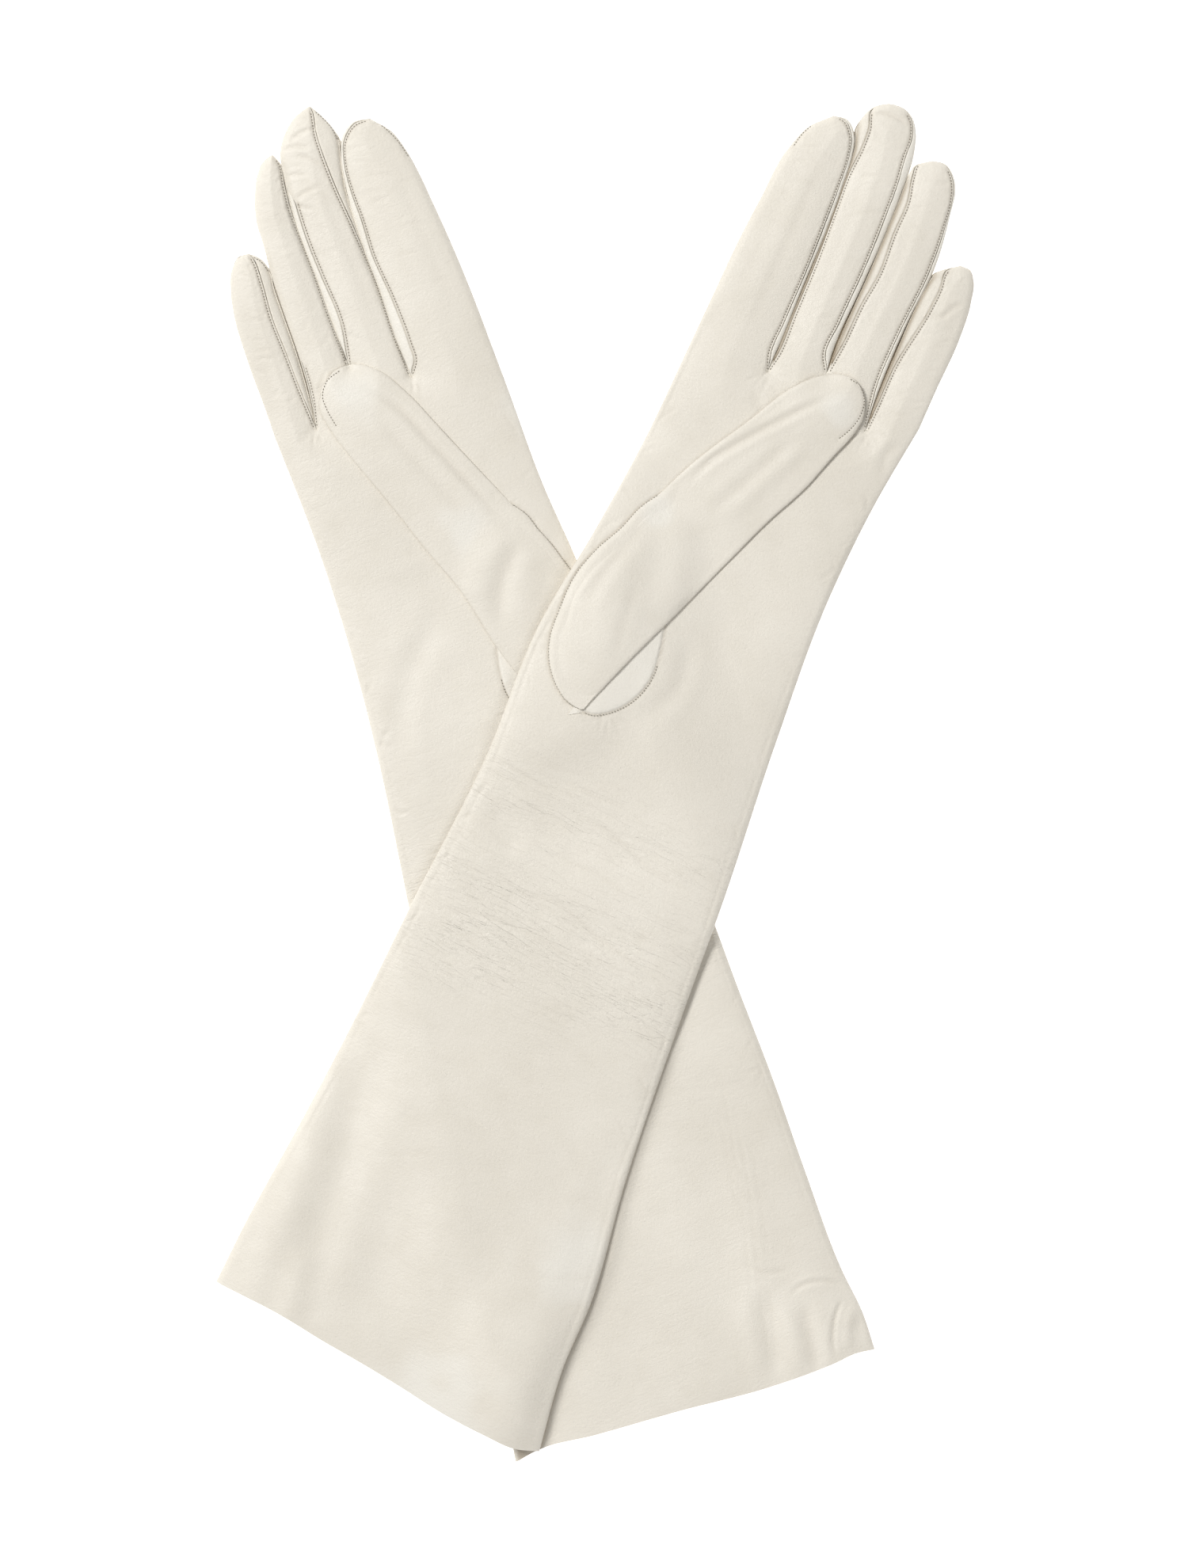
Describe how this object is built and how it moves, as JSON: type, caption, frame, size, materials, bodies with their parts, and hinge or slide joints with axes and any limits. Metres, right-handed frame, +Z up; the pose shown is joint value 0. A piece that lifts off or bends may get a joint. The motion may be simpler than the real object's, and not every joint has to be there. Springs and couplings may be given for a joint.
{
  "type": "opera gloves",
  "caption": "Long light leather dress gloves, lying palm up and crossed at the forearm, with sewn side walls between the fingers and thumbs set into oval holes.",
  "frame": {"origin": "centre of the pair's outline seen from above, at the height of the table it lies on", "axes": "+Y towards the fingertips along the pair's length, +X towards the left glove's fingers, +Z up off the table, out of the palms"},
  "size_m": [0.2392, 0.4274, 0.0164],
  "materials": {
    "leather": "smooth ivory kid leather with a soft sheen",
    "inner_leather": "the same ivory leather, a little paler",
    "thread": "grey-beige sewing thread"
  },
  "bodies": {
    "right_hand": {"right_back_leather": "leather", "right_index_middle_fork": "inner_leather", "right_middle_ring_fork": "inner_leather", "right_palm_leather": "leather", "right_ring_little_fork": "inner_leather", "right_thumb_base": "leather", "right_thumb_gusset": "inner_leather", "right_thumb_seam_thread": "thread"},
    "right_index_finger": {"right_index_back_strip": "leather", "right_index_fourchette_ulnar": "inner_leather", "right_index_palm_strip": "leather", "right_index_seam_thread": "thread"},
    "right_middle_finger": {"right_middle_back_strip": "leather", "right_middle_fourchette_radial": "inner_leather", "right_middle_fourchette_ulnar": "inner_leather", "right_middle_palm_strip": "leather", "right_middle_seam_thread": "thread"},
    "right_ring_finger": {"right_ring_back_strip": "leather", "right_ring_fourchette_radial": "inner_leather", "right_ring_fourchette_ulnar": "inner_leather", "right_ring_palm_strip": "leather", "right_ring_seam_thread": "thread"},
    "right_little_finger": {"right_little_back_strip": "leather", "right_little_fourchette_radial": "inner_leather", "right_little_palm_strip": "leather", "right_little_seam_thread": "thread"},
    "right_thumb": {"right_thumb_back": "leather", "right_thumb_front": "leather"},
    "left_hand": {"left_back_leather": "leather", "left_index_middle_fork": "inner_leather", "left_middle_ring_fork": "inner_leather", "left_palm_leather": "leather", "left_ring_little_fork": "inner_leather", "left_thumb_base": "leather", "left_thumb_gusset": "inner_leather", "left_thumb_seam_thread": "thread"},
    "left_index_finger": {"left_index_back_strip": "leather", "left_index_fourchette_ulnar": "inner_leather", "left_index_palm_strip": "leather", "left_index_seam_thread": "thread"},
    "left_middle_finger": {"left_middle_back_strip": "leather", "left_middle_fourchette_radial": "inner_leather", "left_middle_fourchette_ulnar": "inner_leather", "left_middle_palm_strip": "leather", "left_middle_seam_thread": "thread"},
    "left_ring_finger": {"left_ring_back_strip": "leather", "left_ring_fourchette_radial": "inner_leather", "left_ring_fourchette_ulnar": "inner_leather", "left_ring_palm_strip": "leather", "left_ring_seam_thread": "thread"},
    "left_little_finger": {"left_little_back_strip": "leather", "left_little_fourchette_radial": "inner_leather", "left_little_palm_strip": "leather", "left_little_seam_thread": "thread"},
    "left_thumb": {"left_thumb_back": "leather", "left_thumb_front": "leather"}
  },
  "joints": [
    {"name": "left_glove_lift", "type": "slide", "parent": "right_hand", "child": "left_hand", "axis": [0, 0, 1], "range_m": [0, 0.1]},
    {"name": "right_index_bend", "type": "hinge", "parent": "right_hand", "child": "right_index_finger", "pos_m": [-0.05324, 0.15399, 0.0035], "axis": [0.9485, 0.3168, 0], "range_deg": [0, 85]},
    {"name": "right_middle_bend", "type": "hinge", "parent": "right_hand", "child": "right_middle_finger", "pos_m": [-0.07575, 0.15244, 0.0035], "axis": [0.9698, 0.2439, 0], "range_deg": [0, 85]},
    {"name": "right_ring_bend", "type": "hinge", "parent": "right_hand", "child": "right_ring_finger", "pos_m": [-0.09009, 0.14238, 0.0035], "axis": [0.9676, 0.2525, 0], "range_deg": [0, 85]},
    {"name": "right_little_bend", "type": "hinge", "parent": "right_hand", "child": "right_little_finger", "pos_m": [-0.10033, 0.12617, 0.0035], "axis": [0.9663, 0.2575, 0], "range_deg": [0, 85]},
    {"name": "right_thumb_bend", "type": "hinge", "parent": "right_hand", "child": "right_thumb", "pos_m": [-0.03747, 0.07919, 0.00765], "axis": [0.7504, 0.6609, 0], "range_deg": [0, 60]},
    {"name": "left_index_bend", "type": "hinge", "parent": "left_hand", "child": "left_index_finger", "pos_m": [0.05187, 0.15637, 0.0035], "axis": [0.9199, -0.3921, 0], "range_deg": [0, 85]},
    {"name": "left_middle_bend", "type": "hinge", "parent": "left_hand", "child": "left_middle_finger", "pos_m": [0.0735, 0.15243, 0.0035], "axis": [0.9495, -0.3138, 0], "range_deg": [0, 85]},
    {"name": "left_ring_bend", "type": "hinge", "parent": "left_hand", "child": "left_ring_finger", "pos_m": [0.0882, 0.14107, 0.0035], "axis": [0.9395, -0.3424, 0], "range_deg": [0, 85]},
    {"name": "left_little_bend", "type": "hinge", "parent": "left_hand", "child": "left_little_finger", "pos_m": [0.10026, 0.12635, 0.0035], "axis": [0.9224, -0.3862, 0], "range_deg": [0, 85]},
    {"name": "left_thumb_bend", "type": "hinge", "parent": "left_hand", "child": "left_thumb", "pos_m": [0.03018, 0.08054, 0.01127], "axis": [0.6735, -0.7392, 0], "range_deg": [0, 60]}
  ]
}
